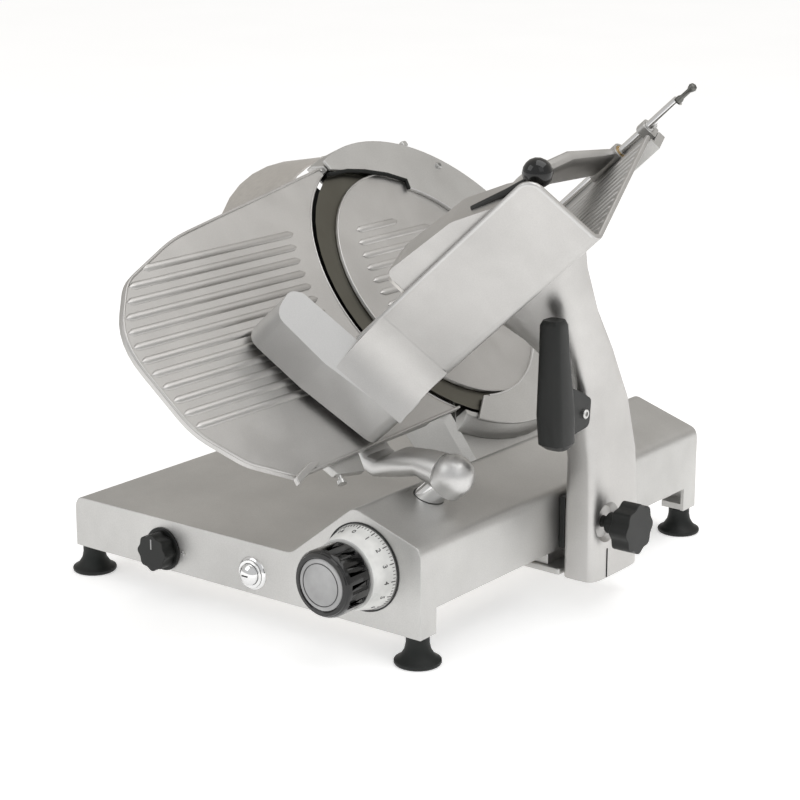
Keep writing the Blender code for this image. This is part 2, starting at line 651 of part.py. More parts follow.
def make_trough(trough, mats):
    corner = rounded([(0.0, 0.0, 0.010), (FLOOR_P, 0.0, 0.0), (FLOOR_P, SHEET, 0.0),
                      (SHEET, SHEET, 0.006), (SHEET, PANEL_Q, 0.0), (0.0, PANEL_Q, 0.0)])
    body = plate("trough", [corner], TROUGH_LOW, TROUGH_HIGH, "YZ", mats["cast_fine"], trough)

    def panel_corner(co):
        return co.x > TROUGH_HIGH - 0.0001 and co.z > PANEL_Q - 0.0001

    bevel_edges(body, panel_corner, 0.014, 4)
    slope = HOOD_RISE / HOOD_WIDTH
    hood = plate("thumb_guard", [hood_outline(0.0)], TROUGH_LOW, HOOD_TOP + 0.002, "YZ",
                 mats["polished"], trough)
    under = plate("hood_cutter", [hood_outline(0.004)], 0.0, HOOD_TOP, "YZ", None, trough, cutter=True)
    for obj, drop in ((hood, 0.0), (under, 0.005)):
        low_side = HOOD_TOP - HOOD_RISE - drop - 0.01 * slope
        high_side = HOOD_TOP - drop + 0.01 * slope
        wedge = plate(obj.name + "_wedge", [[(low_side, -HOOD_WIDTH - 0.01), (high_side, 0.01),
                                             (0.2, 0.01), (0.2, -HOOD_WIDTH - 0.01)]],
                      -0.02, 0.20, "XY", None, trough, cutter=True)
        cut(obj, wedge)
    cut(hood, under)


def hood_outline(inset):
    """The hood's outline across the trough (p, q), drawn in by a wall's thickness."""
    outer, inner = -HOOD_WIDTH + inset, -GAP - inset
    return rounded([(outer + 0.006, 0.002 + inset, 0.020), (inner, inset, 0.006),
                    (inner, 0.160 - inset, 0.012), (inner - 0.006, 0.1720 - inset, 0.014),
                    (outer + 0.004, 0.1680 - inset, 0.018), (outer, 0.100, 0.05)])


def make_guide_rod(trough, mats):
    rail = box("trough_rail", (TROUGH_LOW + 0.004, 0.2060, -0.0135), (TROUGH_HIGH, 0.2316, -0.0046),
               mats["cast"], trough)
    join(rail, box("rail_web_tool", (TROUGH_LOW + 0.004, 0.2060, -0.0100),
                   (TROUGH_HIGH, 0.2105, -GAP), None, trough, True))
    cylinder("guide_rod", ROD_R, (ROD_P, ROD_Q), TROUGH_LOW + 0.004, 0.3865, "X", mats["chrome"],
             trough, 24)
    turned("rod_tip", [(0.0, 0.4125), (0.0035, 0.4105), (0.0045, 0.4080), (0.0035, 0.4050),
                       (0.0025, 0.4030), (0.0025, 0.3930), (0.0038, 0.3900), (0.0038, 0.3868),
                       (0.0, 0.3868)],
           (0.0, ROD_P, ROD_Q), "X", mats["dark_steel"], trough, 16)
    outline = rounded([(0.2186, -0.0043, 0.002), (0.2346, -0.0043, 0.002),
                       (0.2346, 0.0145, 0.006), (0.2186, 0.0145, 0.006)], 4)
    hole = circle(ROD_R + GAP, (ROD_P, ROD_Q), 24)
    for name, low, high in (("rod_clamp_lower", 0.012, 0.022), ("rod_clamp_upper", 0.334, 0.344)):
        plate(name, [outline, hole], low, high, "YZ", mats["cast"], trough)


def make_pusher(trough, mats):
    sleeve_low, sleeve_high = 0.260, 0.302
    tube("pusher_sleeve", ROD_R + GAP, ROD_R + 0.0022, (0.0, ROD_P, ROD_Q), sleeve_low,
         sleeve_high, "X", mats["brass"], trough, 24)
    side = rounded([(0.1500, 0.0080, 0.003), (0.1500, 0.1160, 0.010), (0.2450, 0.1080, 0.030),
                    (0.3000, 0.0860, 0.020), (0.3040, 0.0560, 0.010), (0.2400, 0.0080, 0.010)])
    # The XZ plane here is (a, q), and its depth is p.
    body = plate("pusher", [side], 0.0080, 0.0560, "XZ", mats["cast_fine"], trough)
    pocket = box("pusher_pocket", (0.1560, 0.0130, 0.0120), (0.4000, 0.0700, 0.0750), None, trough,
                 True)
    cut(body, pocket)
    arm = loft("pusher_arm_tool", [
        ring_section((0.2700, 0.0500, 0.0780), (0.0260, 0, 0), (0, 0.0030, 0.0080), 3.0, 16),
        ring_section((0.2720, 0.1000, 0.0720), (0.0240, 0, 0), (0, 0.0040, 0.0080), 3.0, 16),
        ring_section((0.2780, 0.1600, 0.0500), (0.0220, 0, 0), (0, 0.0060, 0.0070), 3.0, 16),
        ring_section((0.2800, 0.2080, 0.0210), (0.0200, 0, 0), (0, 0.0060, 0.0050), 3.0, 16),
        ring_section((0.2810, 0.2220, 0.0120), (0.0200, 0, 0), (0, 0.0060, 0.0030), 3.0, 16),
    ], None, trough, True)
    boss = cylinder("pusher_boss_tool", 0.0105, (ROD_P, ROD_Q), sleeve_low, sleeve_high, "X", None,
                    trough, 28, True)
    bore = cylinder("pusher_bore", ROD_R + 0.0022 + GAP, (ROD_P, ROD_Q), 0.24, 0.32, "X", None,
                    trough, 24, True)
    socket = cylinder("pusher_rod_socket", 0.0042 + GAP, (0.0300, 0.0830), 0.2940, 0.3300, "X", None,
                      trough, 16, True)
    join(body, arm, boss)
    cut(body, bore, socket)
    plate("pusher_plate", [rounded([(0.0080, 0.0080, 0.004), (0.1700, 0.0080, 0.010),
                                    (0.1700, 0.0500, 0.030), (0.0600, 0.1000, 0.020),
                                    (0.0080, 0.1120, 0.008)])],
          0.1460, 0.1497, "YZ", mats["sheet"], trough)
    cylinder("pusher_rod", 0.0042, (0.0300, 0.0830), 0.2960, 0.3215, "X", mats["plastic"], trough, 16)
    ball("pusher_ball_knob", 0.0148, (0.3362, 0.0300, 0.0820), mats["gloss_plastic"], trough)


def make_carriage_arm(machine, trough, mats):
    arm = loft("carriage_arm", [
        ring_section((0.5012, ARM_Y, 0.0315), (0.0212, 0, 0), (0, 0.0465, 0), 5.0, 28),
        ring_section((0.5012, ARM_Y, 0.1000), (0.0212, 0, 0), (0, 0.0465, 0), 5.0, 28),
        ring_section((0.5012, 0.2770, 0.1600), (0.0212, 0, 0), (0, 0.0450, 0), 4.0, 28),
        ring_section((0.5000, 0.2640, 0.2200), (0.0220, 0, 0), (0, 0.0410, 0), 3.5, 28),
        ring_section((0.4960, 0.2420, 0.2700), (0.0250, 0, 0.008), (0, 0.0350, 0), 3.0, 28),
        ring_section((0.4900, 0.2120, 0.3080), (0.0340, 0, 0.018), (0, 0.0310, 0), 3.0, 28),
        ring_section((0.4850, 0.1820, 0.3450), (0.0460, 0, 0.032), (0, 0.0290, 0), 3.0, 28),
        ring_section((0.4850, 0.1620, 0.4100), (0.0500, 0, 0.045), (0, 0.0290, 0), 3.0, 28),
    ], mats["cast_fine"], machine)
    above = box("arm_top_cutter", (-0.05, -0.10, -GAP), (0.50, 0.40, 0.30), None, trough, True)
    recess = turned("lock_recess", [(0.0, 0.5300), (0.0270, 0.5300), (0.0170, 0.5160),
                                    (0.0, 0.5160)],
                    (0.0, LOCK_Y, LOCK_Z), "X", None, machine, 28, True)
    bore = cylinder("lock_bore", 0.0065, (LOCK_Y, LOCK_Z), 0.4930, 0.5300, "X", None, machine, 20,
                    True)
    cut(arm, above, recess, bore)
    plate("carriage_foot", [rounded([(0.4200, 0.2350, 0.006), (0.4795, 0.2330, 0.003),
                                     (0.4795, 0.3250, 0.003), (0.4200, 0.3230, 0.006)], 4)],
          0.0318, 0.0390, "XY", mats["cast"], machine)
    box("gap_shield", (0.4728, 0.2420, 0.0590), (0.4796, 0.3160, 0.1160), mats["plastic"], machine)


def make_lock_knob(machine, mats):
    knob = plate("carriage_lock_knob", [shifted(lobed(0.0272, 0.0032, 8, 64), LOCK_Y, LOCK_Z)],
                 0.5400, 0.5610, "YZ", mats["plastic"], machine)
    hub = cylinder("lock_hub_tool", 0.0115, (LOCK_Y, LOCK_Z), 0.5240, 0.5430, "X", None, machine,
                   24, True)
    stem = cylinder("lock_stem_tool", 0.0060, (LOCK_Y, LOCK_Z), 0.4940, 0.5350, "X", None, machine,
                    20, True)
    join(knob, hub, stem)


def make_handle(machine, mats):
    grip = loft("carriage_handle", [
        ring_section((0.5150, 0.1700, 0.1930), (0.0110, 0, 0), (0, 0.0100, 0), 3.0, 20),
        ring_section((0.5150, 0.1685, 0.1990), (0.0150, 0, 0), (0, 0.0175, 0), 3.5, 20),
        ring_section((0.5150, 0.1660, 0.2300), (0.0155, 0, 0), (0, 0.0190, 0), 3.5, 20),
        ring_section((0.5150, 0.1620, 0.2900), (0.0130, 0, 0), (0, 0.0145, 0), 3.5, 20),
        ring_section((0.5150, 0.1600, 0.3220), (0.0120, 0, 0), (0, 0.0125, 0), 3.5, 20),
        ring_section((0.5150, 0.1600, 0.3270), (0.0095, 0, 0), (0, 0.0100, 0), 3.5, 20),
    ], mats["plastic"], machine)
    web = plate("handle_web_tool", [rounded([(0.1700, 0.2030, 0.004), (0.2150, 0.2080, 0.008),
                                             (0.2175, 0.2360, 0.006), (0.2000, 0.2460, 0.008),
                                             (0.1700, 0.2600, 0.004)])],
                0.5060, 0.5240, "YZ", None, machine, True)
    join(grip, web)


def make_slide(machine, mats):
    rod_low, rod_high = WALL + GAP, BASE_LENGTH - WALL - GAP
    centre = (SLIDE_ROD_X, 0.0, SLIDE_ROD_Z)
    cylinder("slide_rod", SLIDE_ROD_R, (SLIDE_ROD_X, SLIDE_ROD_Z), rod_low, rod_high, "Y",
             mats["chrome"], machine, 24)
    block = box("trolley", (0.4200, 0.2380, 0.0393), (0.4620, 0.3200, 0.0720), mats["cast"],
                machine)
    join(block, box("guide_shoe_tool", (0.4610, 0.2500, 0.0600), (0.4670, 0.3080, 0.0755), None,
                    machine, True))
    cut(block, cylinder("trolley_bore", 0.0122, (SLIDE_ROD_X, SLIDE_ROD_Z), 0.2, 0.4, "Y", None,
                        machine, 28, True))
    tube("trolley_bush", SLIDE_ROD_R + GAP, 0.0118, centre, 0.2360, 0.3220, "Y", mats["brass"],
         machine, 28)


# ---------------------------------------------------------------- materials and assembly

def make_materials():
    return {
        "cast": material("cast_aluminium", (0.58, 0.57, 0.55), 0.42, 1.0),
        "cast_fine": material("anodised_aluminium", (0.62, 0.60, 0.58), 0.36, 1.0),
        "polished": material("polished_aluminium", (0.80, 0.80, 0.80), 0.22, 1.0),
        "sheet": material("stainless_sheet", (0.64, 0.63, 0.61), 0.34, 1.0),
        "steel": material("steel", (0.56, 0.56, 0.56), 0.35, 1.0),
        "dark_steel": material("dark_steel", (0.18, 0.18, 0.17), 0.40, 1.0),
        "blade": material("blade_steel", (0.66, 0.66, 0.66), 0.14, 1.0),
        "chrome": material("chrome", (0.85, 0.85, 0.85), 0.08, 1.0),
        "brass": material("bronze", (0.62, 0.46, 0.25), 0.35, 1.0),
        "plastic": material("black_plastic", (0.018, 0.020, 0.019), 0.50, 0.0),
        "gloss_plastic": material("gloss_black", (0.010, 0.010, 0.010), 0.14, 0.0),
        "rubber": material("black_rubber", (0.020, 0.022, 0.021), 0.65, 0.0),
        "dial": material("white_dial", (0.84, 0.84, 0.82), 0.35, 0.0),
        "white": material("white_cap", (0.80, 0.80, 0.79), 0.30, 0.0),
        "paint": material("motor_paint", (0.10, 0.11, 0.12), 0.50, 0.2),
    }


def main():
    machine = empty("machine_frame", None, (-CENTRE_X, -CENTRE_Y, 0.0))
    head = empty("head_frame", machine, (HEAD_X, HEAD_Y, HEAD_Z), (0.0, -TILT, 0.0))
    trough = empty("trough_frame", head, (0.0, TROUGH_B, TROUGH_C), (TROUGH_TURN, 0.0, 0.0))
    mats = make_materials()
    make_base(machine, head, mats)
    make_feet(machine, mats)
    make_controls(machine, mats)
    make_thickness_control(machine, mats)
    make_head(machine, head, mats)
    make_drive(head, mats)
    make_deflector(head, mats)
    make_gauge(head, mats)
    make_trough(trough, mats)
    make_guide_rod(trough, mats)
    make_pusher(trough, mats)
    make_carriage_arm(machine, trough, mats)
    make_lock_knob(machine, mats)
    make_handle(machine, mats)
    make_slide(machine, mats)


clear_scene()
PARTS = collection(OBJECT_NAME)
CUTTERS = collection("cutters")
main()
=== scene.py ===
"""Deli meat slicer: the looks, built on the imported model.

Three frames are used, as in the CAD model. The machine frame has x to the right, y to the back
and z up. The head frame is tilted with the blade: a along the blade's axis, b along y, c up the
blade. The trough frame is turned about a: p across the trough's floor, q up its side panel.
"""
import json
import math

import bmesh
import bpy
from mathutils import Euler, Matrix, Vector

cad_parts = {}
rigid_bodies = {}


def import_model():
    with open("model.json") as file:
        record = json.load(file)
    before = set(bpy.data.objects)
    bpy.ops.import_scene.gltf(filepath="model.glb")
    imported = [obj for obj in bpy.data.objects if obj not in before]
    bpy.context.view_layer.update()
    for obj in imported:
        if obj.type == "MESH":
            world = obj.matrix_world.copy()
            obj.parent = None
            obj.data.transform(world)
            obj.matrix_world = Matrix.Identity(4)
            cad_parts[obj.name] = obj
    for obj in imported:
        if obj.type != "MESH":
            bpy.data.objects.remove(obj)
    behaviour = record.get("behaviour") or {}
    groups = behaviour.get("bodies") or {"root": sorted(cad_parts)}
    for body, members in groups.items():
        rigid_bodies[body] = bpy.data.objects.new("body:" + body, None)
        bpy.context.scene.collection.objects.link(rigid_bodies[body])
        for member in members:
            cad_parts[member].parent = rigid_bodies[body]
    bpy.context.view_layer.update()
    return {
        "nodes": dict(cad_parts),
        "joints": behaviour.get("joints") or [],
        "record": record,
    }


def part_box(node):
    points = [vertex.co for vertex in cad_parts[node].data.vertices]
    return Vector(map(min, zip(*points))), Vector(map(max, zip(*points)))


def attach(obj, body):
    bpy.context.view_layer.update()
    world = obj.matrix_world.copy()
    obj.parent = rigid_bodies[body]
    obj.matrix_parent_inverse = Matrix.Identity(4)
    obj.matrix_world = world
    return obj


for start_object in list(bpy.data.objects):
    bpy.data.objects.remove(start_object, do_unlink=True)
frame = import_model()

TILT = math.radians(42.0)
TROUGH_TURN = math.radians(26.0)
JOINT_PLACES = {joint["name"]: joint.get("pos_m") for joint in frame["joints"]}
BLADE_PLACE = JOINT_PLACES["blade_spin"]
KNOB_PLACE = JOINT_PLACES["index_turn"]
SWITCH_PLACE = JOINT_PLACES["switch_turn"]
LOCK_PLACE = JOINT_PLACES["lock_turn"]

# The machine frame's origin is this far left of and in front of the row's.
CENTRE_X, CENTRE_Y = 0.2964, 0.1983
BASE_LOW, BASE_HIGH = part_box("base_housing")
FRONT_Y, BACK_Y = BASE_LOW[1], BASE_HIGH[1]
ARM_FACE_X = 0.5224

# Head frame
PLATE_FACE = -0.0015
PLATE_INNER_R = 0.1803
COVER_FACE = 0.0011
COVER_R = 0.1475
GUARD_FACE = 0.0042
RIB_PITCH = 0.0158

# Trough frame
TROUGH_B, TROUGH_C = -0.241, -0.1448
TROUGH_HIGH = 0.345
PANEL_Q, FLOOR_P, SHEET = 0.088, 0.211, 0.005
PANEL_CORNER_R = 0.014
HOOD_TOP = 0.0725
RIM_R = 0.0029

# Knob and dial: distances from the base's front, and radii
DIAL_NEAR_Y, DIAL_NEAR_R = -0.0280, 0.0365
DIAL_FAR_Y, DIAL_FAR_R = -0.0010, 0.04345
KNOB_FRONT, CAP_FRONT = 0.0630, 0.0650

# Camera, at the photograph's angle
CAMERA_AZIMUTH, CAMERA_ELEVATION = 0.6522, 0.2684
CAMERA_X, CAMERA_Y, CAMERA_Z = 1.6343, -1.5547, 0.8071
CAMERA_LENS = 96.217

ROW = Matrix.Identity(4)
HEAD = Matrix.Translation(BLADE_PLACE) @ Matrix.Rotation(-TILT, 4, "Y")
TROUGH = HEAD @ Matrix.Translation((0.0, TROUGH_B, TROUGH_C)) @ Matrix.Rotation(TROUGH_TURN, 4, "X")


# ---------------------------------------------------------------- materials

class Nodes:
    """A material's node tree, with short calls for the nodes used here."""

    def __init__(self, name):
        self.material = bpy.data.materials.new(name)
        self.material.use_nodes = True
        self.tree = self.material.node_tree
        self.shader = self.tree.nodes["Principled BSDF"]

    def add(self, kind, **settings):
        node = self.tree.nodes.new(kind)
        for key, value in settings.items():
            setattr(node, key, value)
        return node

    def link(self, source, target):
        self.tree.links.new(source, target)

    def coordinates(self, stretch=(1.0, 1.0, 1.0), turn=(0.0, 0.0, 0.0)):
        place = self.add("ShaderNodeTexCoord")
        mapping = self.add("ShaderNodeMapping")
        mapping.inputs["Rotation"].default_value = turn
        mapping.inputs["Scale"].default_value = stretch
        self.link(place.outputs["Object"], mapping.inputs["Vector"])
        return mapping.outputs["Vector"]

    def noise(self, vector, scale, detail=4.0, roughness=0.55):
        node = self.add("ShaderNodeTexNoise")
        node.inputs["Scale"].default_value = scale
        node.inputs["Detail"].default_value = detail
        node.inputs["Roughness"].default_value = roughness
        self.link(vector, node.inputs["Vector"])
        return node.outputs["Fac"]

    def ramp(self, value, low, high, start=0.35, end=0.65):
        node = self.add("ShaderNodeValToRGB")
        node.color_ramp.elements[0].position = start
        node.color_ramp.elements[0].color = (*low, 1.0)
        node.color_ramp.elements[1].position = end
        node.color_ramp.elements[1].color = (*high, 1.0)
        self.link(value, node.inputs["Fac"])
        return node.outputs["Color"]

    def spread(self, value, low, high):
        node = self.add("ShaderNodeMapRange")
        node.inputs["From Min"].default_value = 0.3
        node.inputs["From Max"].default_value = 0.7
        node.inputs["To Min"].default_value = low
        node.inputs["To Max"].default_value = high
        self.link(value, node.inputs["Value"])
        return node.outputs["Result"]

    def multiply(self, first, second, amount=1.0):
        node = self.add("ShaderNodeMix", data_type="RGBA", blend_type="MULTIPLY")
        node.inputs["Factor"].default_value = amount
        self.link(first, node.inputs[6])
        self.link(second, node.inputs[7])
        return node.outputs[2]

    def bump(self, height, strength, distance):
        node = self.add("ShaderNodeBump")
        node.inputs["Strength"].default_value = strength
        node.inputs["Distance"].default_value = distance
        self.link(height, node.inputs["Height"])
        self.link(node.outputs["Normal"], self.shader.inputs["Normal"])


def scaled(colour, factor):
    return tuple(min(1.0, part * factor) for part in colour)


def cast_metal(name, colour, roughness, grain=700.0, bump=0.10, mottle=0.06):
    """Bead-blasted or anodised casting: fine grain and faint large patches."""
    nodes = Nodes(name)
    vector = nodes.coordinates()
    patches = nodes.noise(vector, 9.0, 3.0)
    fine = nodes.noise(vector, grain, 3.0, 0.7)
    tone = nodes.ramp(patches, scaled(colour, 1 - mottle), scaled(colour, 1 + mottle))
    speck = nodes.ramp(fine, (0.90, 0.90, 0.90), (1.0, 1.0, 1.0), 0.30, 0.70)
    colour_out = nodes.multiply(tone, speck)
    nodes.link(colour_out, nodes.shader.inputs["Base Color"])
    nodes.link(nodes.spread(nodes.noise(vector, 35.0), roughness - 0.04, roughness + 0.06),
               nodes.shader.inputs["Roughness"])
    nodes.shader.inputs["Metallic"].default_value = 1.0
    nodes.bump(fine, bump, 0.0002)
    return nodes.material


def brushed_metal(name, colour, roughness, along, strokes=420.0, bump=0.08):
    """Sheet with strokes along one axis of a turned frame. along is that axis and the turn."""
    nodes = Nodes(name)
    axis, turn = along
    stretch = [1.0, 1.0, 1.0]
    stretch["XYZ".index(axis)] = 0.03
    vector = nodes.coordinates(tuple(stretch), turn)
    strokes_out = nodes.noise(vector, strokes, 5.0, 0.65)
    patches = nodes.noise(nodes.coordinates(), 12.0, 2.0)
    tone = nodes.ramp(strokes_out, scaled(colour, 0.90), scaled(colour, 1.08), 0.30, 0.70)
    shade = nodes.ramp(patches, (0.94, 0.94, 0.94), (1.0, 1.0, 1.0))
    nodes.link(nodes.multiply(tone, shade), nodes.shader.inputs["Base Color"])
    nodes.link(nodes.spread(strokes_out, roughness - 0.05, roughness + 0.08),
               nodes.shader.inputs["Roughness"])
    nodes.shader.inputs["Metallic"].default_value = 1.0
    nodes.bump(strokes_out, bump, 0.0001)
    return nodes.material


def ground_blade(name, colour, roughness, centre):
    """Steel ground in rings round the blade's centre."""
    nodes = Nodes(name)
    place = nodes.add("ShaderNodeTexCoord")
    offset = nodes.add("ShaderNodeVectorMath", operation="SUBTRACT")
    offset.inputs[1].default_value = centre
    nodes.link(place.outputs["Object"], offset.inputs[0])
    length = nodes.add("ShaderNodeVectorMath", operation="LENGTH")
    nodes.link(offset.outputs["Vector"], length.inputs[0])
    rings_place = nodes.add("ShaderNodeCombineXYZ")
    nodes.link(length.outputs["Value"], rings_place.inputs["X"])
    rings = nodes.noise(rings_place.outputs["Vector"], 1500.0, 4.0, 0.7)
    patches = nodes.noise(place.outputs["Object"], 14.0, 2.0)
    tone = nodes.ramp(rings, scaled(colour, 0.80), scaled(colour, 1.12), 0.30, 0.70)
    shade = nodes.ramp(patches, (0.88, 0.87, 0.85), (1.0, 1.0, 1.0))
    nodes.link(nodes.multiply(tone, shade), nodes.shader.inputs["Base Color"])
    nodes.link(nodes.spread(rings, roughness - 0.04, roughness + 0.08),
               nodes.shader.inputs["Roughness"])
    nodes.shader.inputs["Metallic"].default_value = 1.0
    nodes.bump(rings, 0.06, 0.0001)
    return nodes.material


def polished_metal(name, colour, roughness):
    """Buffed metal: faint cloudy roughness and hairline scratches."""
    nodes = Nodes(name)
    vector = nodes.coordinates()
    cloud = nodes.noise(vector, 22.0, 3.0)
    hair = nodes.noise(nodes.coordinates((1.0, 0.05, 0.3), (0.4, 0.2, 0.9)), 900.0, 3.0)
    nodes.link(nodes.ramp(cloud, scaled(colour, 0.95), colour), nodes.shader.inputs["Base Color"])
    nodes.link(nodes.spread(cloud, roughness, roughness + 0.07), nodes.shader.inputs["Roughness"])
    nodes.shader.inputs["Metallic"].default_value = 1.0
    nodes.bump(hair, 0.03, 0.0001)
    return nodes.material


def moulded(name, colour, roughness, grain=1400.0, bump=0.12, coat=0.0, worn=0.3):
    """Moulded plastic or rubber with a fine grain and paler, rubbed edges."""
    nodes = Nodes(name)
    vector = nodes.coordinates()
    fine = nodes.noise(vector, grain, 2.0)
    patches = nodes.noise(vector, 30.0, 3.0)
    edge = nodes.add("ShaderNodeNewGeometry").outputs["Pointiness"]
    base = nodes.ramp(patches, scaled(colour, 0.85), scaled(colour, 1.15))
    rub = nodes.ramp(edge, (0.0, 0.0, 0.0), (worn * 0.12, worn * 0.12, worn * 0.12), 0.52, 0.62)
    lighter = nodes.add("ShaderNodeMix", data_type="RGBA", blend_type="ADD")
    lighter.inputs["Factor"].default_value = 1.0
    nodes.link(base, lighter.inputs[6])
    nodes.link(rub, lighter.inputs[7])
    nodes.link(lighter.outputs[2], nodes.shader.inputs["Base Color"])
    nodes.link(nodes.spread(patches, roughness - 0.03, roughness + 0.06),
               nodes.shader.inputs["Roughness"])
    nodes.shader.inputs["Specular IOR Level"].default_value = 0.35
    nodes.shader.inputs["Coat Weight"].default_value = coat
    nodes.shader.inputs["Coat Roughness"].default_value = 0.06
    nodes.bump(fine, bump, 0.0002)
    return nodes.material


HEAD_TURN = (0.0, TILT, 0.0)
LOOKS = {
    "cast_aluminium": cast_metal("look_cast", (0.64, 0.635, 0.62), 0.46),
    "anodised_aluminium": cast_metal("look_anodised", (0.62, 0.61, 0.595), 0.42, 1100.0, 0.07),
    "polished_aluminium": cast_metal("look_polished", (0.68, 0.675, 0.665), 0.38, 1300.0, 0.05, 0.03),
    "stainless_sheet": brushed_metal("look_sheet", (0.72, 0.70, 0.67), 0.34, ("Y", HEAD_TURN)),
    "machined_steel": brushed_metal("look_machined", (0.62, 0.62, 0.61), 0.28, ("X", HEAD_TURN)),
    "dark_steel": brushed_metal("look_dark_steel", (0.17, 0.17, 0.16), 0.36, ("X", HEAD_TURN)),
    "blade_steel": ground_blade("look_blade", (0.17, 0.165, 0.14), 0.34, BLADE_PLACE),
    "chrome": polished_metal("look_chrome", (0.90, 0.90, 0.90), 0.09),
    "bronze": brushed_metal("look_bronze", (0.60, 0.43, 0.22), 0.32, ("X", HEAD_TURN)),
    "black_plastic": moulded("look_black_plastic", (0.010, 0.011, 0.010), 0.40, worn=0.10),
    "gloss_black": moulded("look_gloss_black", (0.004, 0.004, 0.004), 0.12, 500.0, 0.01, 0.5, 0.0),
    "black_rubber": moulded("look_rubber", (0.010, 0.012, 0.011), 0.50, 1000.0, 0.2, worn=0.10),
    "white_dial": moulded("look_dial", (0.80, 0.80, 0.78), 0.30, 900.0, 0.03, 0.2, 0.0),
    "white_cap": moulded("look_cap", (0.38, 0.38, 0.38), 0.22, 700.0, 0.02, 0.4, 0.0),
    "motor_paint": moulded("look_motor", (0.09, 0.10, 0.11), 0.40, 300.0, 0.2),
    "ink": moulded("look_ink", (0.03, 0.03, 0.03), 0.5, 800.0, 0.05, 0.0, 0.0),
    # A near-black look of painted shade: it stands for the shadow in gaps and slits and behind the
    # blade.
    "shadow_gap": moulded("look_painted_shade", (0.006, 0.007, 0.006), 0.7, 800.0, 0.05, 0.0, 0.0),
}


# ---------------------------------------------------------------- piece helpers

def finished(name, bm, place, body, slot, look=None, bevel=0.0, angle=38.0):
    """Turn a bmesh in a local frame into a piece that rides on a body."""
    bmesh.ops.recalc_face_normals(bm, faces=bm.faces)
    mesh = bpy.data.meshes.new(name)
    bm.to_mesh(mesh)
    bm.free()
    mesh.transform(place)
    mesh.shade_smooth()
    mesh.set_sharp_from_angle(angle=math.radians(angle))
    piece = bpy.data.objects.new(name, mesh)
    bpy.context.scene.collection.objects.link(piece)
    piece.data.materials.append(LOOKS[look or slot])
    if bevel:
        soften(piece, bevel, 3)
    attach(piece, body)
    return piece


def soften(piece, width, segments=2, angle=32.0):
    modifier = piece.modifiers.new("Edges", "BEVEL")
    modifier.width = width
    modifier.segments = segments
    modifier.limit_method = "ANGLE"
    modifier.angle_limit = math.radians(angle)
    modifier.use_clamp_overlap = True
    shading = piece.modifiers.new("Shading", "WEIGHTED_NORMAL")
    shading.keep_sharp = True


def prism(bm, outline, low, high, axis="X"):
    """A straight-sided solid from a flat outline, between two places along an axis."""
    def point(u, v, w):
        return {"X": (w, u, v), "Y": (u, w, v), "Z": (u, v, w)}[axis]
    lower = [bm.verts.new(point(u, v, low)) for u, v in outline]
    upper = [bm.verts.new(point(u, v, high)) for u, v in outline]
    bm.faces.new(lower)
    bm.faces.new(upper)
    for i in range(len(outline)):
        j = (i + 1) % len(outline)
        bm.faces.new((lower[i], lower[j], upper[j], upper[i]))


def plate(name, outline, low, high, place, body, slot, look=None, bevel=0.0, axis="X"):
    bm = bmesh.new()
    prism(bm, outline, low, high, axis)
    return finished(name, bm, place, body, slot, look, bevel)


def block(name, low, high, place, body, slot, look=None, bevel=0.0):
    outline = [(low[1], low[2]), (high[1], low[2]), (high[1], high[2]), (low[1], high[2])]
    return plate(name, outline, low[0], high[0], place, body, slot, look, bevel)


def add_rib(bm, start, end, width, height, up, side):
    """A raised rib with a round top and tapered ends, on a flat face."""
    start, end, up, side = Vector(start), Vector(end), Vector(up), Vector(side)
    along = (end - start).normalized()
    length = (end - start).length
    steps = [(0.0, 0.15), (width * 0.3, 0.62), (width * 0.8, 1.0)]
    steps += [(length - d, s) for d, s in reversed(steps)]
    rings = []
    sink = 0.0004
    count = 8
    for distance, size in steps:
        middle = start + along * distance - up * sink
        ring = []
        for k in range(count):
            turn = math.pi * k / (count - 1)
            ring.append(bm.verts.new(middle + side * (width / 2 * size * math.cos(turn))
                                     + up * ((height * size + sink) * math.sin(turn))))
        rings.append(ring)
    for first, second in zip(rings, rings[1:]):
        for i in range(count):
            j = (i + 1) % count
            bm.faces.new((first[i], first[j], second[j], second[i]))
    bm.faces.new(rings[0])
    bm.faces.new(rings[-1])


def add_turned(bm, profile, centre, axis, segments=32):
    """A round solid: profile lists (radius, height) along an axis from a centre."""
    axis = Vector(axis).normalized()
    side = axis.orthogonal().normalized()
    other = axis.cross(side)
    rings = []
    for radius, height in profile:
        middle = Vector(centre) + axis * height
        if radius <= 0:
            rings.append([bm.verts.new(middle)])
            continue
        rings.append([bm.verts.new(middle + side * (radius * math.cos(2 * math.pi * k / segments))
                                   + other * (radius * math.sin(2 * math.pi * k / segments)))
                      for k in range(segments)])
    for first, second in zip(rings, rings[1:]):
        for i in range(segments):
            j = (i + 1) % segments
            if len(first) == 1:
                bm.faces.new((first[0], second[i], second[j]))
            elif len(second) == 1:
                bm.faces.new((first[i], first[j], second[0]))
            else:
                bm.faces.new((first[i], first[j], second[j], second[i]))


def turned(name, profile, centre, axis, place, body, slot, look=None, segments=40, angle=38.0):
    bm = bmesh.new()
    add_turned(bm, profile, centre, axis, segments)
    return finished(name, bm, place, body, slot, look, 0.0, angle)


def ring_profile(points):
    """Close a ring's profile, for a round piece with a hole."""
    return points + [points[0]]


def baked_mesh(source):
    """A curve or text object's shape as a mesh."""
    bpy.context.view_layer.update()
    return bpy.data.meshes.new_from_object(source.evaluated_get(bpy.context.evaluated_depsgraph_get()))


